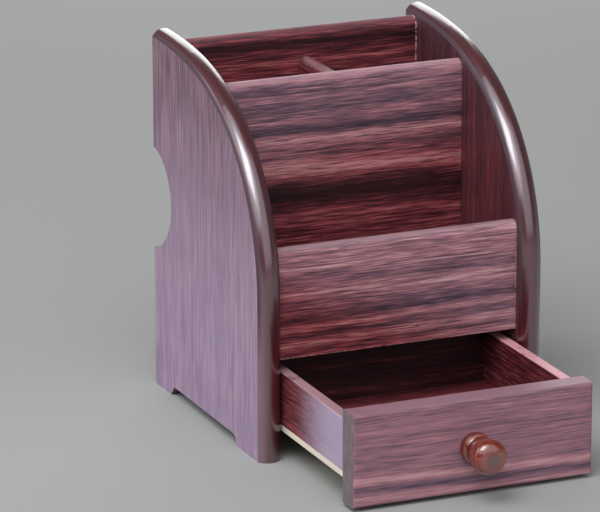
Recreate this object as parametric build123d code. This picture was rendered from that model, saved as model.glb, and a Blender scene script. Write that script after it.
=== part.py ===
from build123d import *
import math
import os

# Pen stand with a drawer: two curved side panels carry a back panel, a middle
# panel, a front apron, a compartment floor and a base panel. A small drawer
# slides on the base panel. Millimetres, +Z up, the drawer opens towards -Y.
# The origin is the centre of the footprint of the whole object's box, with
# the drawer open as modelled, at floor level.

# ---- driving dimensions -------------------------------------------------
SIDE_T = 12.0            # side panel thickness
INNER_W = 128.0          # clear width between the side panels
HALF_IN = INNER_W / 2
HALF_W = HALF_IN + SIDE_T

# side panel outline, in depth from its straight back edge and height
TOP_Z = 183.0            # where the outline starts, on the back edge
ARC1_R, ARC1_L = 289.8, 41.6   # nearly flat run at the top
ARC2_R, ARC2_L = 131.7, 46.7   # shoulder
ARC3_R = 94.65                 # front curve, down to the vertical
NOSE = 3.75              # how far the rounded edge stands proud of the outline
NOSE_DROP = 0.0
BACK_CORNER_R = 3.0      # lower back corner

# feet and the shallow arch between them
ARCH_H = 5.2
FOOT_BACK = 19.0         # depth where the back foot's flat ends
FOOT_FRONT = 111.4       # depth where the front foot's flat starts
FOOT_S = 8.0             # length of each S-shaped step

# half-round hand notch in the back edge
NOTCH_R = 26.4
NOTCH_C_Y = 3.15         # the arc's centre lies this far behind the back edge
NOTCH_C_Z = 99.6

BOARD_T = 9.0            # back, middle, apron, partition, compartment floor
BACK_FRONT = 13.35       # depth of the back panel's front face
BACK_TOP = 182.4
MIDDLE_FRONT = 67.6      # depth of the middle panel's front face
MIDDLE_TOP = 172.3
APRON_FRONT = 132.3      # depth of the apron's front face
APRON_BOTTOM = 50.05
APRON_TOP = 105.5
PARTITION_X = 2.3        # the partition stands slightly right of centre
PARTITION_TOP = 167.9

BASE_T = 6.0
BASE_TOP = 14.2
BASE_FRONT = 117.5       # depth of the base panel's front edge

# drawer, in its open place
SLIDE_GAP = 0.3
DRAWER_W = 126.0
DRAWER_FRONT_FACE = 219.7
DRAWER_FRONT_T = 12.0
DRAWER_FRONT_BOTTOM = 2.0
DRAWER_FRONT_TOP = 48.5
DRAWER_SIDE_T = 6.0
DRAWER_SIDE_TOP = 44.1
DRAWER_BOTTOM_T = 3.0
DRAWER_REAR = 104.6      # depth of the drawer back's rear face
EDGE_R = 1.4             # softened edges of the drawer front
SIDE_EDGE_R = 0.9        # softened top edges of the drawer sides and back

# turned knob
KNOB_Z = 24.6
KNOB_BASE_R = 7.5        # where the flange meets the drawer front
KNOB_FLANGE_R = 7.85     # the flange at its widest
KNOB_RING_R = 7.3        # the flange's outer rim, a raised ring
KNOB_RING_H = 4.0        # the rim's distance from the drawer front's face
KNOB_NECK_R = 5.95       # bottom of the shallow groove behind the ring
KNOB_BODY_H = 7.0        # where the body starts to flare
KNOB_WIDE_R = 8.65       # the body close to its widest
KNOB_WIDE_H = 16.0
KNOB_FLAT_R = 3.3        # the small flat end
KNOB_END = 21.6          # flat end, from the drawer front's face

DOWEL_R = 2.5
DOWEL_IN_SIDE = 8.0
DOWEL_IN_BOARD = 12.0
GLUE = 0.1               # radial glue gap round every dowel
SMALL_DOWEL_R = 1.5
BRAD_R = 0.6
BRAD_HEAD_R = 1.1
BRAD_HEAD_T = 0.5
SCREW_R = 1.6
SCREW_HEAD_R = 3.4
SCREW_HEAD_T = 2.1

# ---- frame --------------------------------------------------------------
OVERALL_D = DRAWER_FRONT_FACE + KNOB_END
Y0 = OVERALL_D / 2       # the side panels' back edges


def y(depth):
    return Y0 - depth


def block(x0, x1, d0, d1, z0, z1):
    """Box between two widths, two depths from the back edge and two heights."""
    return Pos((x0 + x1) / 2, y((d0 + d1) / 2), (z0 + z1) / 2) * Box(
        abs(x1 - x0), abs(d1 - d0), abs(z1 - z0)
    )


def rod_x(x0, x1, depth, z, r):
    return Pos((x0 + x1) / 2, y(depth), z) * (Rot(0, 90, 0) * Cylinder(r, abs(x1 - x0)))


def rod_y(d0, d1, x, z, r):
    return Pos(x, y((d0 + d1) / 2), z) * (Rot(90, 0, 0) * Cylinder(r, abs(d1 - d0)))


def rod_z(z0, z1, x, depth, r):
    return Pos(x, y(depth), (z0 + z1) / 2) * Cylinder(r, abs(z1 - z0))


def yz_face(edges, x):
    """Planar face from edges drawn as (depth, height) at the given width."""
    return make_face(Wire(edges)).moved(Location((x, 0, 0)))


def vec(depth, z, x=0.0):
    return Vector(x, y(depth), z)


os.makedirs("parts", exist_ok=True)
made = {}


def keep(name, shapes):
    """Write one node from one solid or a list of separate solids."""
    solids = []
    for s in shapes if isinstance(shapes, (list, tuple)) else [shapes]:
        solids.extend(s.solids())
    node = solids[0] if len(solids) == 1 else Compound(children=solids)
    export_step(node, f"parts/{name}.step")
    made[name] = node


# ---- side panels --------------------------------------------------------
# The outline's upper run is three tangent arcs. Each one is stored with its
# centre, start and end, so the rounded nose can be turned about that centre.
arcs = []
depth, height, heading = 0.0, TOP_Z, 0.0
for radius, length in ((ARC1_R, ARC1_L), (ARC2_R, ARC2_L), (ARC3_R, None)):
    turn = (math.pi / 2 - heading) if length is None else length / radius
    # centre lies below the run, square to the heading
    cd = depth - radius * math.sin(heading)
    cz = height - radius * math.cos(heading)

    def at(a, cd=cd, cz=cz, radius=radius):
        return (cd + radius * math.sin(a), cz + radius * math.cos(a))

    start, mid, end = at(heading), at(heading + turn / 2), at(heading + turn)
    arcs.append((start, mid, end, (cd, cz), heading, turn))
    depth, height, heading = end[0], end[1], heading + turn
FRONT = depth            # depth of the vertical front run
VERT_Z = height


def s_step(d0, z0, d1, z1):
    """Two equal tangent arcs, level at both ends, from one point to the other."""
    md, mz = (d0 + d1) / 2, (z0 + z1) / 2
    first = TangentArc(vec(d0, z0), vec(md, mz), tangent=Vector(0, -1, 0))
    second = TangentArc(vec(md, mz), vec(d1, z1), tangent=first % 1)
    return [first, second]


back_round_a = vec(0, BACK_CORNER_R)
back_round_b = vec(BACK_CORNER_R, 0)
back_round_m = vec(
    BACK_CORNER_R * (1 - math.sqrt(0.5)), BACK_CORNER_R * (1 - math.sqrt(0.5))
)
outline = [ThreePointArc(vec(*s), vec(*m), vec(*e)) for s, m, e, _, _, _ in arcs]
outline += [
    Line(vec(FRONT, VERT_Z), vec(FRONT, 0)),
    Line(vec(FRONT, 0), vec(FOOT_FRONT, 0)),
]
outline += s_step(FOOT_FRONT - FOOT_S, ARCH_H, FOOT_FRONT, 0)
outline += [Line(vec(FOOT_BACK + FOOT_S, ARCH_H), vec(FOOT_FRONT - FOOT_S, ARCH_H))]
outline += s_step(FOOT_BACK, 0, FOOT_BACK + FOOT_S, ARCH_H)
outline += [
    Line(back_round_b, vec(FOOT_BACK, 0)),
    ThreePointArc(back_round_a, back_round_m, back_round_b),
    Line(vec(0, TOP_Z), back_round_a),
]


def nose_section(d, z, a, x0):
    """Section of the rounded nose at one point of the outline: a low circular
    segment across the board's thickness, on a short root inside the board."""
    n = (math.sin(a), math.cos(a))
    root = 3.0

    def p(x, h):
        return vec(d + n[0] * h, z + n[1] * h, x0 + x)

    t = SIDE_T
    return make_face(
        Wire(
            [
                ThreePointArc(p(0, 0), p(t / 2, NOSE), p(t, 0)),
                Line(p(t, 0), p(t, -root)),
                Line(p(t, -root), p(0, -root)),
                Line(p(0, -root), p(0, 0)),
            ]
        )
    )


def side_panel(x0, inner_x, dowels):
    plate = extrude(yz_face(outline, x0), amount=SIDE_T, dir=(1, 0, 0))
    body = plate
    for start, _, _, (cd, cz), a, turn in arcs:
        section = nose_section(start[0], start[1], a, x0)
        axis = Axis((0, y(cd), cz), (1, 0, 0))
        body = body + revolve(section, axis, math.degrees(turn))
    straight = extrude(
        nose_section(FRONT, VERT_Z, math.pi / 2, x0), amount=VERT_Z, dir=(0, 0, -1)
    )
    body = body + straight
    notch = rod_x(x0 - 1, x0 + SIDE_T + 1, -NOTCH_C_Y, NOTCH_C_Z, NOTCH_R)
    body = body - notch
    for d, z, r, reach in dowels:
        far = inner_x + math.copysign(reach, inner_x)
        body = body - rod_x(inner_x - math.copysign(1, inner_x), far, d, z, r + GLUE)
    return body


# dowels between side panels and boards: depth, height, radius, reach in side
BACK_MID = BACK_FRONT - BOARD_T / 2
MIDDLE_MID = MIDDLE_FRONT - BOARD_T / 2
APRON_MID = APRON_FRONT - BOARD_T / 2
FLOOR_MID_Z = APRON_BOTTOM + BOARD_T / 2
BASE_MID_Z = BASE_TOP - BASE_T / 2
back_dowels = [(BACK_MID, z, DOWEL_R, DOWEL_IN_SIDE) for z in (34.0, 160.0)]
middle_dowels = [(MIDDLE_MID, z, DOWEL_R, DOWEL_IN_SIDE) for z in (84.0, 148.0)]
apron_dowels = [(APRON_MID, z, DOWEL_R, DOWEL_IN_SIDE) for z in (66.0, 91.0)]
floor_dowels = [(d, FLOOR_MID_Z, DOWEL_R, DOWEL_IN_SIDE) for d in (34.0, 100.0)]
base_dowels = [(d, BASE_MID_Z, SMALL_DOWEL_R, 7.0) for d in (30.0, 100.0)]
side_holes = back_dowels + middle_dowels + apron_dowels + floor_dowels + base_dowels

keep("left_side_panel", side_panel(-HALF_W, -HALF_IN, side_holes))
keep("right_side_panel", side_panel(HALF_IN, HALF_IN, side_holes))


# ---- boards between the side panels -------------------------------------
def round_top_board(d_front, z0, z1):
    """Upright board across the clear width with a full-round top edge."""
    r = BOARD_T / 2
    d_back = d_front - BOARD_T
    face = yz_face(
        [
            Line(vec(d_back, z0), vec(d_front, z0)),
            Line(vec(d_front, z0), vec(d_front, z1 - r)),
            ThreePointArc(
                vec(d_front, z1 - r), vec((d_front + d_back) / 2, z1), vec(d_back, z1 - r)
            ),
            Line(vec(d_back, z1 - r), vec(d_back, z0)),
        ],
        -HALF_IN,
    )
    return extrude(face, amount=INNER_W, dir=(1, 0, 0))


def bore_ends(board, dowels, reach):
    """Dowel holes in both ends of a board."""
    for d, z, r, _ in dowels:
        for s in (-1, 1):
            board = board - rod_x(s * (HALF_IN + 1), s * (HALF_IN - reach), d, z, r + GLUE)
    return board


def dowel_group(dowels, reach):
    """The dowels of one board, seated on the bottoms of their holes."""
    return [
        rod_x(s * (HALF_IN + in_side), s * (HALF_IN - reach), d, z, r)
        for d, z, r, in_side in dowels
        for s in (-1, 1)
    ]


FLOOR_TOP = APRON_BOTTOM + BOARD_T
BASE_BOTTOM = BASE_TOP - BASE_T
back = bore_ends(round_top_board(BACK_FRONT, BASE_BOTTOM, BACK_TOP), back_dowels, DOWEL_IN_BOARD)
middle = bore_ends(round_top_board(MIDDLE_FRONT, FLOOR_TOP, MIDDLE_TOP), middle_dowels, DOWEL_IN_BOARD)
apron = bore_ends(round_top_board(APRON_FRONT, APRON_BOTTOM, APRON_TOP), apron_dowels, DOWEL_IN_BOARD)

# partition: a front-to-back board with a full-round top edge
PART_BACK, PART_FRONT = BACK_FRONT, MIDDLE_FRONT - BOARD_T
half_t = BOARD_T / 2
partition_face = make_face(
    Wire(
        [
            Line(vec(PART_BACK, FLOOR_TOP, PARTITION_X - half_t), vec(PART_BACK, FLOOR_TOP, PARTITION_X + half_t)),
            Line(
                vec(PART_BACK, FLOOR_TOP, PARTITION_X + half_t),
                vec(PART_BACK, PARTITION_TOP - half_t, PARTITION_X + half_t),
            ),
            ThreePointArc(
                vec(PART_BACK, PARTITION_TOP - half_t, PARTITION_X + half_t),
                vec(PART_BACK, PARTITION_TOP, PARTITION_X),
                vec(PART_BACK, PARTITION_TOP - half_t, PARTITION_X - half_t),
            ),
            Line(
                vec(PART_BACK, PARTITION_TOP - half_t, PARTITION_X - half_t),
                vec(PART_BACK, FLOOR_TOP, PARTITION_X - half_t),
            ),
        ]
    )
)
partition = extrude(partition_face, amount=PART_FRONT - PART_BACK, dir=(0, -1, 0))
partition_dowels = []
for z in (80.0, 146.0):
    back = back - rod_y(BACK_FRONT - 5.0, BACK_FRONT + 1, PARTITION_X, z, 2.0 + GLUE)
    middle = middle - rod_y(PART_FRONT - 1, PART_FRONT + 5.0, PARTITION_X, z, 2.0 + GLUE)
    partition = partition - rod_y(PART_BACK - 1, PART_BACK + 8.0, PARTITION_X, z, 2.0 + GLUE)
    partition = partition - rod_y(PART_FRONT - 8.0, PART_FRONT + 1, PARTITION_X, z, 2.0 + GLUE)
    partition_dowels.append(rod_y(BACK_FRONT - 5.0, PART_BACK + 8.0, PARTITION_X, z, 2.0))
    partition_dowels.append(rod_y(PART_FRONT - 8.0, PART_FRONT + 5.0, PARTITION_X, z, 2.0))

floor = bore_ends(
    block(-HALF_IN, HALF_IN, BACK_FRONT, APRON_FRONT - BOARD_T, APRON_BOTTOM, FLOOR_TOP),
    floor_dowels,
    DOWEL_IN_BOARD,
)
base = bore_ends(
    block(-HALF_IN, HALF_IN, BACK_FRONT, BASE_FRONT, BASE_BOTTOM, BASE_TOP),
    base_dowels,
    DOWEL_IN_BOARD,
)
keep("back_panel", back)
keep("middle_panel", middle)
keep("front_apron", apron)
keep("pen_partition", partition)
keep("compartment_floor", floor)
keep("base_panel", base)
keep("back_panel_dowels", dowel_group(back_dowels, DOWEL_IN_BOARD))
keep("middle_panel_dowels", dowel_group(middle_dowels, DOWEL_IN_BOARD))
keep("front_apron_dowels", dowel_group(apron_dowels, DOWEL_IN_BOARD))
keep("compartment_floor_dowels", dowel_group(floor_dowels, DOWEL_IN_BOARD))
keep("base_panel_dowels", dowel_group(base_dowels, DOWEL_IN_BOARD))
keep("pen_partition_dowels", partition_dowels)

# ---- drawer -------------------------------------------------------------
HALF_D = DRAWER_W / 2
FRONT_BACK = DRAWER_FRONT_FACE - DRAWER_FRONT_T   # depth of the drawer front's rear face
PLATE_Z0 = BASE_TOP + SLIDE_GAP
PLATE_Z1 = PLATE_Z0 + DRAWER_BOTTOM_T
BACK_D0, BACK_D1 = DRAWER_REAR, DRAWER_REAR + DRAWER_SIDE_T

front = block(-HALF_D, HALF_D, FRONT_BACK, DRAWER_FRONT_FACE, DRAWER_FRONT_BOTTOM, DRAWER_FRONT_TOP)
face_edges = front.faces().sort_by(Axis.Y)[0].edges()
front = fillet(face_edges, EDGE_R)
rear_top = [
    e
    for e in front.edges()
    if abs(e.center().Y - y(FRONT_BACK)) < 1e-3 and abs(e.center().Z - DRAWER_FRONT_TOP) < 1e-3
]
front = fillet(rear_top, SIDE_EDGE_R)

screw_axis_top = FRONT_BACK
front = front - rod_y(FRONT_BACK - 1, DRAWER_FRONT_FACE + 1, 0, KNOB_Z, SCREW_R + 0.2)


def drawer_side(x0, x1):
    side = block(x0, x1, DRAWER_REAR, FRONT_BACK, PLATE_Z1, DRAWER_SIDE_TOP)
    tops = [
        e
        for e in side.edges()
        if abs(e.center().Z - DRAWER_SIDE_TOP) < 1e-3 and abs(e.center().Y - y((DRAWER_REAR + FRONT_BACK) / 2)) < 1.0
    ]
    return fillet(tops, SIDE_EDGE_R)


left = drawer_side(-HALF_D, -HALF_D + DRAWER_SIDE_T)
right = drawer_side(HALF_D - DRAWER_SIDE_T, HALF_D)
IN_X = HALF_D - DRAWER_SIDE_T
rear = block(-IN_X, IN_X, BACK_D0, BACK_D1, PLATE_Z1, DRAWER_SIDE_TOP)
rear_tops = [
    e
    for e in rear.edges()
    if abs(e.center().Z - DRAWER_SIDE_TOP) < 1e-3 and abs(e.center().X) < 1e-3
]
rear = fillet(rear_tops, SIDE_EDGE_R)
plate = block(-HALF_D, HALF_D, DRAWER_REAR, FRONT_BACK, PLATE_Z0, PLATE_Z1)

# dowels between the front and the sides
front_dowels = []
for s in (-1, 1):
    x = s * (HALF_D - DRAWER_SIDE_T / 2)
    for z in (24.0, 36.0):
        front = front - rod_y(FRONT_BACK - 1, FRONT_BACK + 6.0, x, z, SMALL_DOWEL_R + GLUE)
        hole = rod_y(FRONT_BACK - 9.0, FRONT_BACK + 1, x, z, SMALL_DOWEL_R + GLUE)
        if s < 0:
            left = left - hole
        else:
            right = right - hole
        front_dowels.append(rod_y(FRONT_BACK - 9.0, FRONT_BACK + 6.0, x, z, SMALL_DOWEL_R))

# brads through the sides into the back, heads flush
back_brads = []
for s in (-1, 1):
    for z in (24.5, 37.0):
        d = (BACK_D0 + BACK_D1) / 2
        x_out, x_in = s * HALF_D, s * (HALF_D - 17.0)
        shank = rod_x(x_out - s * BRAD_HEAD_T, x_in, d, z, BRAD_R)
        head = rod_x(x_out, x_out - s * BRAD_HEAD_T, d, z, BRAD_HEAD_R)
        bore = rod_x(x_out + s, x_in, d, z, BRAD_R + 0.05)
        seat = rod_x(x_out + s, x_out - s * BRAD_HEAD_T, d, z, BRAD_HEAD_R + 0.05)
        back_brads.append(shank + head)
        rear = rear - bore
        if s < 0:
            left = left - bore - seat
        else:
            right = right - bore - seat

# brads through the bottom plate into the sides and the back, heads flush
bottom_brads = []
spots = [(s * (HALF_D - DRAWER_SIDE_T / 2), d) for s in (-1, 1) for d in (122.0, 158.0, 194.0)]
spots += [(x, (BACK_D0 + BACK_D1) / 2) for x in (-28.0, 28.0)]
for x, d in spots:
    z_low, z_high = PLATE_Z0, PLATE_Z0 + 11.0
    bottom_brads.append(
        rod_z(z_low + BRAD_HEAD_T, z_high, x, d, BRAD_R) + rod_z(z_low, z_low + BRAD_HEAD_T, x, d, BRAD_HEAD_R)
    )
    bore = rod_z(z_low - 1, z_high, x, d, BRAD_R + 0.05)
    plate = plate - bore - rod_z(z_low - 1, z_low + BRAD_HEAD_T, x, d, BRAD_HEAD_R + 0.05)
    if d < BACK_D1:
        rear = rear - bore
    elif x < 0:
        left = left - bore
    else:
        right = right - bore

keep("drawer_front", front)
keep("drawer_left_side", left)
keep("drawer_right_side", right)
keep("drawer_back", rear)
keep("drawer_bottom", plate)
keep("drawer_front_dowels", front_dowels)
keep("drawer_back_brads", back_brads)
keep("drawer_bottom_brads", bottom_brads)

# ---- knob and its screw -------------------------------------------------
# Profile in the plane of radius (local X) and distance from the drawer's face
# (local Z), turned about the local Z axis and laid along -Y.
SCREW_BORE_R = SCREW_R + GLUE
SCREW_IN_KNOB = 11.0


def k(r, h):
    return Vector(r, 0, h)


ring = k(KNOB_RING_R, KNOB_RING_H)
body_start = k(KNOB_NECK_R + 0.2, KNOB_BODY_H)
wide = k(KNOB_WIDE_R, KNOB_WIDE_H)
shoulder = k(8.1, 18.9)
brow = k(5.4, 21.1)
flat = k(KNOB_FLAT_R, KNOB_END)
body = ThreePointArc(body_start, k(7.75, (KNOB_BODY_H + KNOB_WIDE_H) / 2), wide)
round_1 = TangentArc(wide, shoulder, tangent=body % 1)
round_2 = TangentArc(shoulder, brow, tangent=round_1 % 1)
round_3 = TangentArc(brow, flat, tangent=round_2 % 1)
knob_profile = [
    Line(k(0, 0), k(KNOB_BASE_R, 0)),
    ThreePointArc(k(KNOB_BASE_R, 0), k(KNOB_FLANGE_R, 2.2), ring),
    ThreePointArc(ring, k(KNOB_NECK_R, 5.6), body_start),
    body,
    round_1,
    round_2,
    round_3,
    Line(flat, k(0, KNOB_END)),
    Line(k(0, KNOB_END), k(0, 0)),
]
knob_local = revolve(make_face(Wire(knob_profile)), Axis.Z, 360)
knob_local = knob_local - Pos(0, 0, SCREW_IN_KNOB / 2 - 0.5) * Cylinder(SCREW_BORE_R, SCREW_IN_KNOB + 1)
# lay local +Z along -Y at the drawer front's face
place = Location((0, y(DRAWER_FRONT_FACE), KNOB_Z), (90, 0, 0))
keep("drawer_knob", knob_local.moved(place))

# screw: head inside the drawer, shank through the front, point in the knob
tip = SCREW_IN_KNOB - 1.0
screw_profile = [
    Line(k(0, -DRAWER_FRONT_T - SCREW_HEAD_T), k(SCREW_HEAD_R - 1.2, -DRAWER_FRONT_T - SCREW_HEAD_T)),
    ThreePointArc(
        k(SCREW_HEAD_R - 1.2, -DRAWER_FRONT_T - SCREW_HEAD_T),
        k(SCREW_HEAD_R - 0.35, -DRAWER_FRONT_T - SCREW_HEAD_T + 0.35),
        k(SCREW_HEAD_R, -DRAWER_FRONT_T - SCREW_HEAD_T + 1.2),
    ),
    Line(k(SCREW_HEAD_R, -DRAWER_FRONT_T - SCREW_HEAD_T + 1.2), k(SCREW_HEAD_R, -DRAWER_FRONT_T)),
    Line(k(SCREW_HEAD_R, -DRAWER_FRONT_T), k(SCREW_R, -DRAWER_FRONT_T)),
    Line(k(SCREW_R, -DRAWER_FRONT_T), k(SCREW_R, tip - 2.5)),
    Line(k(SCREW_R, tip - 2.5), k(0.25, tip)),
    Line(k(0.25, tip), k(0, tip)),
    Line(k(0, tip), k(0, -DRAWER_FRONT_T - SCREW_HEAD_T)),
]
screw_local = revolve(make_face(Wire(screw_profile)), Axis.Z, 360)
slot_z = -DRAWER_FRONT_T - SCREW_HEAD_T
for turn_deg in (0, 90):
    screw_local = screw_local - Pos(0, 0, slot_z + 0.4) * (Rot(0, 0, turn_deg) * Box(3.4, 0.7, 2.0))
keep("knob_screw", screw_local.moved(place))

# ---- summary ------------------------------------------------------------
whole = Compound(children=[Compound(children=n.solids()) for n in made.values()])
bb = whole.bounding_box()
print("nodes", len(made), "box", bb.min, bb.max, bb.size)
print("front run depth", round(FRONT, 2), "vertical from", round(VERT_Z, 2))
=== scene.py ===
import bpy
import math
from mathutils import Matrix, Vector

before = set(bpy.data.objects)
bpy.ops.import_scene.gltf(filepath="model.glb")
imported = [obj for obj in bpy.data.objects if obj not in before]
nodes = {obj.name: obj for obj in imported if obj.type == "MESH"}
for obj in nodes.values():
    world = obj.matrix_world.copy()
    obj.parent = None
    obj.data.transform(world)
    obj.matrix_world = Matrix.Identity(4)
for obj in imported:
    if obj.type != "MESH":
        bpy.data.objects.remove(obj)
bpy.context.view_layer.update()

scene = bpy.context.scene
scene.view_settings.view_transform = "Standard"
scene.view_settings.look = "None"


# ---- camera ---------------------------------------------------------------
RIGHT = Vector((0.91847, -0.39549, -0.00143))
DOWN = Vector((-0.11521, -0.26409, -0.95759))
VIEW = Vector((0.37835, 0.87968, -0.28812))
CAM_POS = Vector((-0.86875, -1.90985, 0.72323))
cam_data = bpy.data.cameras.new("camera")
cam_data.sensor_fit = "HORIZONTAL"
cam_data.sensor_width = 36.0
cam_data.lens = 4466.4 * 36.0 / 600.0
cam_data.clip_start = 0.05
cam_data.clip_end = 60.0
cam = bpy.data.objects.new("camera", cam_data)
up, back = -DOWN, -VIEW
cam.matrix_world = Matrix(
    (
        (RIGHT.x, up.x, back.x, CAM_POS.x),
        (RIGHT.y, up.y, back.y, CAM_POS.y),
        (RIGHT.z, up.z, back.z, CAM_POS.z),
        (0, 0, 0, 1),
    )
)
scene.collection.objects.link(cam)
scene.camera = cam


# ---- node graph helper ----------------------------------------------------
class Graph:
    """Builds a node tree from short calls. Every call returns an output socket."""

    def __init__(self, tree):
        self.tree = tree

    def node(self, kind, **settings):
        n = self.tree.nodes.new(kind)
        for k, v in settings.items():
            setattr(n, k, v)
        return n

    def put(self, socket, value):
        if isinstance(value, bpy.types.NodeSocket):
            self.tree.links.new(value, socket)
        elif isinstance(value, (tuple, list)):
            socket.default_value = (
                (*value, 1.0)
                if len(value) == 3 and len(socket.default_value) == 4
                else value
            )
        else:
            socket.default_value = value

    def math(self, op, a, b=None, c=None, clamp=False):
        n = self.node("ShaderNodeMath", operation=op, use_clamp=clamp)
        for i, v in enumerate((a, b, c)):
            if v is not None:
                self.put(n.inputs[i], v)
        return n.outputs[0]

    def add(self, *terms):
        total = terms[0]
        for t in terms[1:]:
            total = self.math("ADD", total, t)
        return total

    def sub(self, a, b):
        return self.math("SUBTRACT", a, b)

    def mul(self, *terms):
        total = terms[0]
        for t in terms[1:]:
            total = self.math("MULTIPLY", total, t)
        return total

    def step(self, x, lo, hi):
        """0 below lo, 1 above hi, smooth between; hi may be below lo."""
        n = self.node("ShaderNodeMapRange", interpolation_type="SMOOTHSTEP")
        self.put(n.inputs["Value"], x)
        flip = hi < lo
        n.inputs["From Min"].default_value = min(lo, hi)
        n.inputs["From Max"].default_value = max(lo, hi)
        n.inputs["To Min"].default_value = 1.0 if flip else 0.0
        n.inputs["To Max"].default_value = 0.0 if flip else 1.0
        return n.outputs["Result"]

    def vec(self, x, y, z):
        n = self.node("ShaderNodeCombineXYZ")
        for i, v in enumerate((x, y, z)):
            self.put(n.inputs[i], v)
        return n.outputs[0]

    def split(self, v):
        n = self.node("ShaderNodeSeparateXYZ")
        self.put(n.inputs[0], v)
        return n.outputs[0], n.outputs[1], n.outputs[2]

    def noise(self, v, detail=2.0, rough=0.5, twist=0.0):
        n = self.node("ShaderNodeTexNoise", noise_dimensions="3D")
        self.put(n.inputs["Vector"], v)
        n.inputs["Scale"].default_value = 1.0
        n.inputs["Detail"].default_value = detail
        n.inputs["Roughness"].default_value = rough
        n.inputs["Distortion"].default_value = twist
        return n.outputs["Fac"]

    def fleck(self, a, b, c, la, lb, lc, seed=0.0, detail=2.0, rough=0.5):
        """Noise whose blobs are la, lb and lc millimetres long."""
        return self.noise(
            self.vec(self.add(self.mul(a, 1 / la), seed), self.mul(b, 1 / lb), self.mul(c, 1 / lc)),
            detail,
            rough,
        )

    def cells(self, v):
        n = self.node("ShaderNodeTexVoronoi", feature="F1")
        self.put(n.inputs["Vector"], v)
        n.inputs["Scale"].default_value = 1.0
        return n.outputs["Distance"], n.outputs["Color"]

    def ramp(self, x, stops, mode="LINEAR"):
        n = self.node("ShaderNodeValToRGB")
        r = n.color_ramp
        r.interpolation = mode
        while len(r.elements) > 1:
            r.elements.remove(r.elements[-1])
        r.elements[0].position = stops[0][0]
        r.elements[0].color = (*stops[0][1], 1)
        for at, color in stops[1:]:
            e = r.elements.new(at)
            e.color = (*color, 1)
        self.put(n.inputs[0], x)
        return n.outputs["Color"]

    def mix(self, t, a, b, blend="MIX"):
        n = self.node("ShaderNodeMix", data_type="RGBA", blend_type=blend)
        self.put(n.inputs[0], t)
        self.put(n.inputs[6], a)
        self.put(n.inputs[7], b)
        return n.outputs[2]

    def lerp(self, t, a, b):
        n = self.node("ShaderNodeMix", data_type="FLOAT")
        self.put(n.inputs[0], t)
        self.put(n.inputs[2], a)
        self.put(n.inputs[3], b)
        return n.outputs[0]

    def place(self):
        """The point on the part in millimetres, as three sockets."""
        n = self.node("ShaderNodeTexCoord")
        x, y, z = self.split(n.outputs["Object"])
        return self.mul(x, 1000.0), self.mul(y, 1000.0), self.mul(z, 1000.0)

    def facing(self):
        n = self.node("ShaderNodeTexCoord")
        return self.split(n.outputs["Normal"])

    def bump(self, height, distance, strength=1.0):
        n = self.node("ShaderNodeBump")
        n.inputs["Strength"].default_value = strength
        n.inputs["Distance"].default_value = distance
        self.put(n.inputs["Height"], height)
        return n.outputs[0]


def material(name):
    m = bpy.data.materials.new(name)
    m.use_nodes = True
    m.node_tree.nodes.clear()
    return m, Graph(m.node_tree)


def surface(g, color, rough, normal=None, ior=1.5, coat=None, tint=None, metal=0.0, sheen=None):
    b = g.node("ShaderNodeBsdfPrincipled")
    g.put(b.inputs["Base Color"], color)
    g.put(b.inputs["Roughness"], rough)
    b.inputs["IOR"].default_value = ior
    b.inputs["Metallic"].default_value = metal
    if normal is not None:
        g.put(b.inputs["Normal"], normal)
    if tint is not None:
        b.inputs["Specular Tint"].default_value = (*tint, 1)
    if sheen is not None:
        weight, srough, stint = sheen
        b.inputs["Sheen Weight"].default_value = weight
        b.inputs["Sheen Roughness"].default_value = srough
        b.inputs["Sheen Tint"].default_value = (*stint, 1)
    if coat is not None:
        weight, crough, cior = coat
        g.put(b.inputs["Coat Weight"], weight)
        b.inputs["Coat Roughness"].default_value = crough
        b.inputs["Coat IOR"].default_value = cior
    out = g.node("ShaderNodeOutputMaterial")
    g.tree.links.new(b.outputs[0], out.inputs["Surface"])
    return b


# ---- printed rosewood foil --------------------------------------------------
DEEP = [
    (0.00, (0.014, 0.0040, 0.0055)),
    (0.24, (0.038, 0.0080, 0.0110)),
    (0.40, (0.092, 0.0170, 0.0230)),
    (0.54, (0.175, 0.0310, 0.0410)),
    (0.68, (0.285, 0.0560, 0.0680)),
    (0.84, (0.410, 0.1100, 0.1200)),
    (1.00, (0.520, 0.2000, 0.2000)),
]
# the same print under painted glare: greyed towards a pale purple-grey and lighter
GLARE_MAUVE = [
    (0.00, (0.040, 0.0260, 0.0400)),
    (0.24, (0.092, 0.0580, 0.0840)),
    (0.40, (0.170, 0.0960, 0.1330)),
    (0.54, (0.275, 0.1400, 0.1860)),
    (0.68, (0.405, 0.1880, 0.2330)),
    (0.84, (0.540, 0.2650, 0.3030)),
    (1.00, (0.640, 0.3900, 0.4300)),
]


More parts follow.
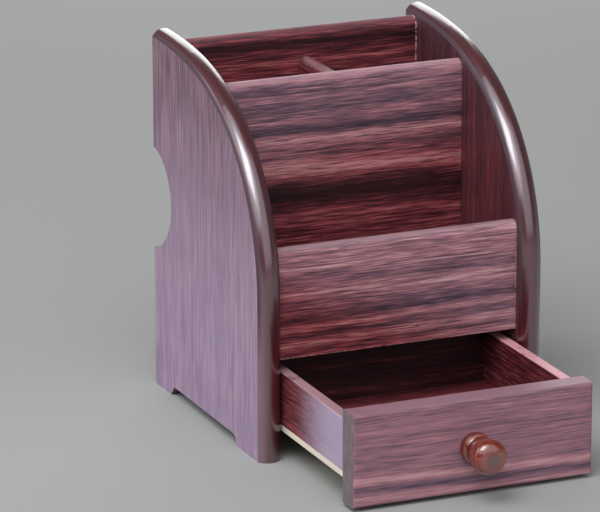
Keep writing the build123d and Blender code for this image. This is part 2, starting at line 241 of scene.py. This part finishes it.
def rosewood(g, along, across, deep, seed, bands=(), gain=1.0, lift=0.0, wander=1.0, painted_glare=0.0, ink_amount=1.0):
    """Colour and relief of the foil. along, across and deep are millimetres with the grain, over it and into the board.
    bands are (height, slope, half width, amount): lighter or darker stripes that run with the grain.
    painted_glare, 0 to 1 or a socket, is how far painted glare greys the print from deep red towards a pale
    purple-grey."""
    slow = g.fleck(along, across, deep, 170, 50, 50, seed, 1.0)
    quick = g.fleck(along, across, deep, 26, 9, 9, seed * 1.7, 1.0)
    bend = g.add(g.mul(g.sub(slow, 0.5), 2.2 * wander), g.mul(g.sub(quick, 0.5), 0.4 * wander))
    v = g.add(across, bend)

    broad = g.fleck(along, v, deep, 300, 8.0, 8.0, seed * 2.3, 1.5)
    streak = g.fleck(along, v, deep, 55, 1.5, 1.5, seed * 3.1, 2.0, 0.6)
    line = g.fleck(along, v, deep, 20, 0.65, 0.65, seed * 4.7, 1.0)
    pore = g.fleck(along, v, deep, 8, 0.42, 0.42, seed * 5.9, 0.0)

    t = g.add(
        0.52,
        lift,
        g.mul(g.sub(broad, 0.5), 0.60 * gain),
        g.mul(g.sub(streak, 0.5), 0.72 * gain),
        g.mul(g.sub(line, 0.5), 0.85 * gain),
        g.mul(g.sub(pore, 0.5), 0.50 * gain),
    )
    for height, slope, half, amount in bands:
        at = g.sub(g.add(across, g.mul(bend, 0.45)), g.add(height, g.mul(along, slope)))
        d = g.math("DIVIDE", at, half)
        t = g.add(t, g.mul(g.math("EXPONENT", g.mul(g.mul(d, d), -1.0)), amount))
    # painted glare: the print is mixed towards its lighter, greyed purple-grey copy
    color = g.mix(painted_glare, g.ramp(t, DEEP), g.ramp(t, GLARE_MAUVE))
    # ink-dark dashes, long ones and hair-fine short ones
    long_dash = g.fleck(along, v, deep, 32, 1.0, 1.0, seed * 6.1, 2.0, 0.65)
    short_dash = g.fleck(along, v, deep, 12, 0.55, 0.55, seed * 8.3, 1.0)
    ink = g.add(g.mul(g.step(long_dash, 0.55, 0.61), 0.62 * ink_amount), g.mul(g.step(short_dash, 0.57, 0.67), 0.45 * ink_amount))
    ink = g.math("MINIMUM", ink, 0.8)
    # the ink dashes are greyed by the same painted glare
    color = g.mix(ink, color, g.mix(painted_glare, (0.024, 0.0055, 0.0080), (0.070, 0.0400, 0.0580)))
    height = g.add(g.mul(line, 0.5), g.mul(pore, 0.35), g.mul(ink, -0.5))
    return color, height, line


def specks(g, x, y, z, seed, size=8.0, radius=0.055, share=0.08):
    """A mask of tiny pale specks of dust and chips."""
    dist, tone = g.cells(g.vec(g.add(g.mul(x, 1 / size), seed), g.mul(y, 1 / size), g.mul(z, 1 / size)))
    pick, size_pick, _ = g.split(tone)
    small = g.math("LESS_THAN", dist, g.mul(size_pick, radius))
    return g.mul(small, g.math("LESS_THAN", pick, share))


def chipped(g, x, y, z, edges):
    """A mask of broken pale lines where the foil has chipped. edges are (axis, position, width, amount)."""
    mask = None
    for axis, at, width, amount in edges:
        c = (x, y, z)[axis]
        near = g.step(g.math("ABSOLUTE", g.sub(c, at)), width, width * 0.6)
        crumbs = g.fleck(x, y, z, 1.6, 1.6, 1.6, at * 0.37, 2.0, 0.6)
        one = g.mul(near, g.step(crumbs, 0.42, 0.58), amount)
        mask = one if mask is None else g.math("MAXIMUM", mask, one)
    return mask


SATIN_TINT = (0.93, 0.89, 1.0)


def board(name, seed, grain="X", bands=(), gain=1.0, lift=0.0, rough=0.44, wander=1.0, dust=0.14, chips=(), ends=False, painted_glare=None, ink=1.0, edge=None, painted_veil=None):
    """painted_glare is (height of none, height of all, amount, tilt): painted glare greys the print between those
    heights on the front of the board.
    edge is (colour, amount) of a painted reflection that lightens the top faces in patches. painted_veil is (side, y of
    none, y of all, amount): a painted reflection on the face towards that side of X."""
    m, g = material(name)
    x, y, z = g.place()
    nx, ny, nz = g.facing()
    along, across, deep = {"X": (x, z, y), "Y": (y, z, x), "Z": (z, y, x)}[grain]
    glare_lean = 0.0
    # painted glare: the front faces grey between two heights, in soft clouds
    if painted_glare:
        none, all_, amount, tilt = painted_glare
        outer = g.step(ny, 0.35, -0.05)
        cloud = g.fleck(x, y, z, 90, 30, 16, seed * 9.1, 1.0)
        glare_lean = g.mul(g.step(g.add(z, g.mul(x, tilt), g.mul(g.sub(cloud, 0.5), 22.0)), none, all_), outer, amount)
    # painted reflection on the face towards one side, fading between two depths
    if painted_veil:
        toward, start, stop, pale_reflection = painted_veil
        veil = g.mul(g.step(g.mul(nx, toward), 0.4, 0.7), g.step(y, start, stop))
        glare_lean = g.mul(veil, 0.9)
    color, height, line = rosewood(g, along, across, deep, seed, bands, gain, lift, wander, glare_lean, ink)
    # the painted reflection tints that face a pale lavender
    if painted_veil:
        color = g.mix(g.mul(veil, pale_reflection), color, (0.50, 0.41, 0.58))
    # painted reflection: the top faces lighten in patches of this noise
    top_patches = g.fleck(x, y, z, 14, 14, 4, seed, 3.0, 0.6)
    if edge:
        tone, amount = edge
        color = g.mix(g.mul(g.step(nz, 0.45, 0.85), g.step(top_patches, 0.22, 0.46), amount), color, tone)
    color = g.mix(g.mul(specks(g, x, y, z, seed, share=dust), 0.75), color, (0.70, 0.62, 0.61))
    if chips:
        on_face = g.step(g.math("ABSOLUTE", nx), 0.6, 0.3)
        color = g.mix(g.mul(chipped(g, x, y, z, chips), on_face), color, (0.62, 0.44, 0.42))
    wear = g.fleck(x, y, z, 22, 22, 22, 0.0, 3.0)
    r = g.add(rough - 0.05, g.mul(wear, 0.10), g.mul(line, 0.06))
    if ends:
        end = g.step(g.math("ABSOLUTE", nx), 0.55, 0.85)
        blot = g.fleck(x, y, z, 2.5, 2.5, 9.0, 3.0, 3.0, 0.6)
        stain = g.ramp(blot, [(0.3, (0.150, 0.112, 0.122)), (0.55, (0.195, 0.152, 0.162)), (0.8, (0.270, 0.215, 0.225))])
        color = g.mix(end, color, stain)
        r = g.lerp(end, r, 0.62)
    surface(g, color, r, g.bump(height, 0.00006, 0.5), ior=1.45, tint=SATIN_TINT)
    return m


def side(name, seed, outward, bands=(), lift=0.0, glare_strength=1.0):
    """Foil on the two flat faces, the outer one greyed and lightened by painted glare and the inner one darkened by
    painted shade, and maroon lacquer on every edge, with a dark crease between them.
    """
    m, g = material(name)
    x, y, z = g.place()
    nx, ny, nz = g.facing()
    across_face = g.math("ABSOLUTE", nx)
    flat = g.step(across_face, 0.93, 0.96)
    outer = g.step(g.mul(nx, outward), 0.3, 0.7)
    # painted glare greys the outer face, most low down; painted shade darkens the inner faces, more higher up, and the
    # top of the outer face a little
    low = g.step(z, 190.0, 30.0)
    glare_lean = g.mul(outer, g.lerp(low, 0.28, 1.0))
    inner = g.lerp(g.step(z, 110.0, 172.0), -0.08, -0.17)
    shade = g.add(lift, g.lerp(outer, inner, g.lerp(low, -0.11, 0.0)))
    color, height, line = rosewood(g, z, y, x, seed, bands, 0.62, shade, 0.25, glare_lean, 0.55)
    # painted glare: a lavender veil over the outer face, strongest low down
    painted_veil = g.mul(outer, g.lerp(low, 0.0, 0.74), glare_strength)
    color = g.mix(painted_veil, color, (0.365, 0.272, 0.440))
    # wide soft streaks, rosier and bluer by turns, under the fine ones; they are print streaks strengthened by the
    # painted glare, so strongest low down
    rosy = g.mul(outer, g.step(g.fleck(z, y, x, 75, 2.6, 2.6, seed * 1.9, 2.0, 0.6), 0.46, 0.60), g.lerp(low, 0.08, 0.55))
    color = g.mix(g.mul(rosy, glare_strength), color, (0.500, 0.310, 0.420))
    blue = g.mul(outer, g.step(g.fleck(z, y, x, 60, 3.4, 3.4, seed * 3.7, 2.0, 0.6), 0.48, 0.62), g.lerp(low, 0.20, 0.60))
    color = g.mix(g.mul(blue, glare_strength), color, (0.215, 0.160, 0.285))
    dark = g.mul(outer, g.step(g.fleck(z, y, x, 22, 0.95, 0.95, seed * 2.9, 2.0, 0.6), 0.50, 0.62), 0.40)
    color = g.mix(dark, color, (0.130, 0.080, 0.110))
    pale = g.mul(outer, g.step(g.fleck(z, y, x, 36, 0.80, 0.80, seed * 4.3, 1.0), 0.53, 0.64), 0.38)
    color = g.mix(pale, color, (0.560, 0.390, 0.480))
    color = g.mix(g.mul(specks(g, x, y, z, seed, share=0.05), 0.6), color, (0.62, 0.54, 0.56))
    soft = g.fleck(x, y, z, 2.2, 30, 30, seed, 3.0)
    lacquer = g.ramp(soft, [(0.30, (0.048, 0.0024, 0.0040)), (0.70, (0.088, 0.0056, 0.0084))])
    # the rounded edge starts at an angle to the face: its first strip is dull and dark above the lowest part, and the
    # outward half of the lacquer gets a painted pale reflection, strongest low down
    nose = g.sub(1.0, flat)
    crease = g.mul(g.step(across_face, 0.62, 0.80), nose, g.step(z, 48.0, 80.0))
    pale_reflection = g.mul(g.step(g.mul(nx, outward), 0.20, 0.75), g.lerp(g.step(z, 110.0, 30.0), 0.08, 0.46))
    lacquer = g.mix(pale_reflection, lacquer, (0.310, 0.140, 0.205))
    lacquer = g.mix(g.mul(crease, 0.85), lacquer, (0.030, 0.0080, 0.0130))
    brush = g.fleck(x, y, z, 0.55, 26, 26, seed, 2.0)
    color = g.mix(flat, lacquer, color)
    wear = g.fleck(x, y, z, 22, 22, 22, 0.0, 3.0)
    r_foil = g.add(0.44, g.mul(wear, 0.10), g.mul(line, 0.06))
    r_paint = g.lerp(crease, g.add(0.28, g.mul(brush, 0.10)), 0.80)
    normal = g.bump(g.lerp(flat, g.mul(brush, 0.35), height), 0.00006, 0.5)
    gloss = g.mul(nose, g.sub(1.0, g.mul(crease, 0.95)))
    surface(g, color, g.lerp(flat, r_paint, r_foil), normal, ior=1.95, tint=(0.88, 0.83, 1.0), coat=(gloss, 0.16, 1.95))
    return m


def raw_bottom(name, seed):
    """Thin sheet: foil inside the drawer, bare pale edge and underside."""
    m, g = material(name)
    x, y, z = g.place()
    nx, ny, nz = g.facing()
    top = g.step(nz, 0.6, 0.8)
    color, height, line = rosewood(g, x, y, z, seed, (), 0.9, -0.06)
    fibre = g.fleck(x, y, z, 3.0, 3.0, 0.25, 0.0, 3.0)
    fuzz = g.fleck(x, y, z, 0.5, 0.5, 0.5, 0.0, 2.0)
    pale = g.ramp(g.add(g.mul(fibre, 0.6), g.mul(fuzz, 0.4)), [(0.35, (0.66, 0.53, 0.42)), (0.52, (0.86, 0.75, 0.64)), (0.7, (0.92, 0.85, 0.77))])
    color = g.mix(top, pale, color)
    rough = g.lerp(top, 0.8, 0.36)
    normal = g.bump(g.lerp(top, g.mul(fuzz, 1.6), height), 0.00008, 0.6)
    surface(g, color, rough, normal, ior=1.5)
    return m


def knob(name):
    """Clear reddish varnish over fine turned grain, with the flat end a little paler from a painted reflection, and
    painted shade in the neck and on the back of the flange.
    """
    m, g = material(name)
    x, y, z = g.place()
    nx, ny, nz = g.facing()
    grain = g.fleck(x, y, z, 2.4, 16.0, 2.4, 0.0, 2.0, 0.5)
    fine = g.fleck(x, y, z, 0.4, 5.0, 0.4, 0.0, 2.0)
    t = g.add(g.mul(grain, 0.7), g.mul(fine, 0.3))
    color = g.ramp(t, [(0.25, (0.115, 0.0070, 0.0016)), (0.50, (0.205, 0.0200, 0.0045)), (0.75, (0.285, 0.0440, 0.0110))])
    end = g.step(ny, -0.72, -0.96)
    off = g.math("SQRT", g.add(g.mul(x, x), g.math("POWER", g.sub(z, 24.6), 2.0)))
    # painted reflection: the flat end is a little paler and pinker, with a darker disc at its middle
    color = g.mix(g.mul(end, 0.60), color, (0.300, 0.0820, 0.0840))
    color = g.mix(g.mul(g.step(ny, -0.90, -0.985), g.step(off, 3.9, 3.1), 0.85), color, (0.130, 0.0600, 0.0620))
    # painted shade in the neck and on the back of the flange, past the ring
    neck_shade = g.mul(g.step(y, -108.2, -105.6), g.step(y, -103.2, -104.4))
    flange_shade = g.step(y, -103.0, -101.4)
    color = g.mix(g.mul(g.math("MAXIMUM", neck_shade, flange_shade), 0.70), color, (0.050, 0.0045, 0.0022))
    ring = g.fleck(x, y, z, 100, 0.35, 100, 0.0, 1.0)
    normal = g.bump(g.add(g.mul(fine, 0.3), g.mul(ring, 0.4)), 0.00002, 0.3)
    surface(g, color, g.add(0.28, g.mul(fine, 0.08)), normal, ior=1.45, coat=(1.0, 0.07, 1.85))
    return m


def beech(name):
    m, g = material(name)
    x, y, z = g.place()
    grain = g.fleck(x, y, z, 1.2, 1.2, 1.2, 0.0, 4.0, 0.65)
    color = g.ramp(grain, [(0.3, (0.38, 0.22, 0.11)), (0.7, (0.66, 0.45, 0.26))])
    surface(g, color, g.add(0.6, g.mul(grain, 0.2)), g.bump(grain, 0.0001, 0.5))
    return m


def steel(name):
    m, g = material(name)
    x, y, z = g.place()
    fine = g.fleck(x, y, z, 0.5, 0.5, 0.5, 0.0, 3.0)
    color = g.ramp(fine, [(0.3, (0.42, 0.42, 0.44)), (0.7, (0.62, 0.62, 0.63))])
    surface(g, color, g.add(0.26, g.mul(fine, 0.16)), g.bump(fine, 0.00003, 0.4), metal=1.0)
    return m


# (height mm, slope, half width mm, amount)
MIDDLE_BANDS = [
    (158.8, 0.013, 1.3, -0.12),
    (145.2, 0.004, 2.4, -0.22),
    (140.5, 0.000, 2.0, 0.26),
    (124.5, -0.035, 4.4, 0.40),
    (111.5, -0.030, 6.0, -0.36),
    (97.0, 0.000, 3.0, 0.08),
]
APRON_BANDS = [
    (95.0, 0.000, 1.2, 0.14),
    (89.5, 0.000, 3.2, -0.10),
    (81.8, -0.018, 2.4, 0.24),
    (69.8, 0.020, 1.3, -0.22),
    (65.6, 0.020, 1.4, 0.22),
    (61.5, 0.020, 1.2, -0.14),
    (57.4, 0.020, 2.2, 0.32),
    (53.6, 0.010, 1.0, -0.04),
]
FRONT_BANDS = [
    (38.5, 0.000, 2.0, 0.10),
    (13.3, -0.028, 2.2, 0.36),
    (9.0, -0.025, 1.7, -0.16),
    (4.6, -0.030, 2.0, 0.22),
]
BACK_BANDS = [
    (175.0, 0.0, 2.6, -0.34),
    (166.0, 0.0, 2.0, 0.14),
    (156.0, 0.02, 3.0, -0.12),
    (149.0, 0.04, 2.6, 0.26),
]

# On these boards, the greying of the front faces, the pale veils on the drawer sides and the lighter top faces are
# painted glare and painted reflections
looks = {
    "left_side_panel": side("side_left_foil", 1.3, -1.0),
    "right_side_panel": side("side_right_foil", 7.9, 1.0, lift=-0.02, glare_strength=0.5),
    "back_panel": board("back_foil", 3.1, lift=0.03, bands=BACK_BANDS, chips=[(0, 63.7, 0.6, 0.8)], edge=((0.20, 0.10, 0.12), 0.5)),
    "middle_panel": board("middle_foil", 5.7, lift=0.03, bands=MIDDLE_BANDS, painted_glare=(112.0, 160.0, 0.90, -0.10), edge=((0.46, 0.27, 0.31), 0.6)),
    "front_apron": board("apron_foil", 9.4, bands=APRON_BANDS, chips=[(0, 63.8, 0.4, 0.5), (2, 50.2, 0.35, 0.35)], lift=0.09, painted_glare=(40.0, 88.0, 0.90, 0.46), edge=((0.35, 0.235, 0.260), 0.6)),
    "pen_partition": board("partition_foil", 12.8, grain="Y", edge=((0.30, 0.20, 0.22), 0.5)),
    # painted shade: the compartment floor and the base are printed darker
    "compartment_floor": board("floor_foil", 15.2, lift=-0.12),
    "base_panel": board("base_foil", 17.5, lift=-0.08),
    "drawer_front": board("drawer_front_foil", 21.6, bands=FRONT_BANDS, gain=0.60, ink=0.36, lift=0.02, ends=True, painted_glare=(-30.0, -12.0, 1.0, 0.0), edge=((0.30, 0.165, 0.205), 0.75)),
    "drawer_left_side": board("drawer_left_foil", 24.9, grain="Y", edge=((0.42, 0.25, 0.29), 0.85), painted_veil=(-1.0, -28.0, -76.0, 0.75)),
    "drawer_right_side": board("drawer_right_foil", 27.1, grain="Y", edge=((0.72, 0.36, 0.40), 0.9), painted_veil=(1.0, -28.0, -76.0, 0.75)),
    # painted shade: the drawer back is printed near black
    "drawer_back": board("drawer_back_foil", 30.3, lift=-0.36, edge=((0.10, 0.040, 0.050), 0.5)),
    "drawer_bottom": raw_bottom("drawer_bottom_sheet", 33.8),
    "drawer_knob": knob("varnished_knob"),
    "knob_screw": steel("screw_steel"),
}
wood = beech("dowel_beech")
metal = looks["knob_screw"]
for n, o in nodes.items():
    m = looks.get(n)
    if m is None:
        m = metal if "brads" in n or "screw" in n else wood
    o.data.materials.clear()
    o.data.materials.append(m)


# ---- floor ------------------------------------------------------------------
def sweep(name, reach, bend, height, level):
    """A round floor that curves up into a wall, as one mesh."""
    profile = [(0.0, 0.0), (0.3, 0.0), (1.0, 0.0), (reach - bend, 0.0)]
    for i in range(1, 13):
        a = math.radians(90 * i / 12)
        profile.append((reach - bend + bend * math.sin(a), bend - bend * math.cos(a)))
    profile.append((reach, height))
    turns = 96
    verts, faces = [], []
    for r, h in profile:
        for k in range(turns):
            t = 2 * math.pi * k / turns
            verts.append((r * math.cos(t), r * math.sin(t), h + level))
    for i in range(len(profile) - 1):
        for k in range(turns):
            n = (k + 1) % turns
            if i == 0:
                faces.append((k, turns + k, turns + n))
            else:
                faces.append((i * turns + k, (i + 1) * turns + k, (i + 1) * turns + n, i * turns + n))
    return stage_piece(name, verts, faces)


def stage_piece(name, verts, faces):
    mesh = bpy.data.meshes.new(name)
    mesh.from_pydata(verts, [], faces)
    for p in mesh.polygons:
        p.use_smooth = True
    o = bpy.data.objects.new(name, mesh)
    scene.collection.objects.link(o)
    return o


def paper(name):
    """Plain pale matt paper with a faint tooth."""
    m, g = material(name)
    n = g.node("ShaderNodeTexCoord")
    x, y, z = g.split(n.outputs["Object"])
    tooth = g.noise(g.vec(g.mul(x, 900.0), g.mul(y, 900.0), g.mul(z, 900.0)), detail=2.0)
    color = g.mix(tooth, (0.352, 0.361, 0.356), (0.380, 0.389, 0.384))
    surface(g, color, 0.9, ior=1.3)
    return m


floor = sweep("floor", 6.5, 1.0, 1.2, 0.0)
floor.data.materials.append(paper("floor_paper"))


# ---- studio light -----------------------------------------------------------
world = bpy.data.worlds.new("world")
scene.world = world
world.use_nodes = True
world.node_tree.nodes.clear()
w = Graph(world.node_tree)
bg = w.node("ShaderNodeBackground")
bg.inputs["Color"].default_value = (1, 1, 1, 1)
bg.inputs["Strength"].default_value = 0.10
out = w.node("ShaderNodeOutputWorld")
world.node_tree.links.new(bg.outputs[0], out.inputs["Surface"])


def softbox(name, direction, distance, size, power, color=(1, 1, 1), aim=(0, 0, 0.08), shape="SQUARE"):
    data = bpy.data.lights.new(name, "AREA")
    data.shape = shape
    data.size = size
    data.energy = power
    data.color = color
    o = bpy.data.objects.new(name, data)
    d = Vector(direction).normalized()
    o.location = Vector(aim) + d * distance
    o.rotation_euler = d.to_track_quat("Z", "Y").to_euler()
    o.visible_camera = False
    scene.collection.objects.link(o)
    return o


softbox("key", (-0.46, -0.36, 0.80), 1.3, 0.72, 7.6)
softbox("front", (0.12, -0.80, 0.58), 1.7, 2.2, 10.8)
softbox("left", (-0.85, 0.42, 0.38), 1.5, 1.1, 7.4)
softbox("rear", (0.378, 0.88, 0.34), 1.7, 1.0, 6.8)
dome_data = bpy.data.lights.new("dome", "SUN")
dome_data.energy = 1.18
dome_data.angle = math.radians(72)
dome = bpy.data.objects.new("dome", dome_data)
dome.rotation_euler = Vector((-0.46, -0.36, 0.80)).to_track_quat("Z", "Y").to_euler()
scene.collection.objects.link(dome)
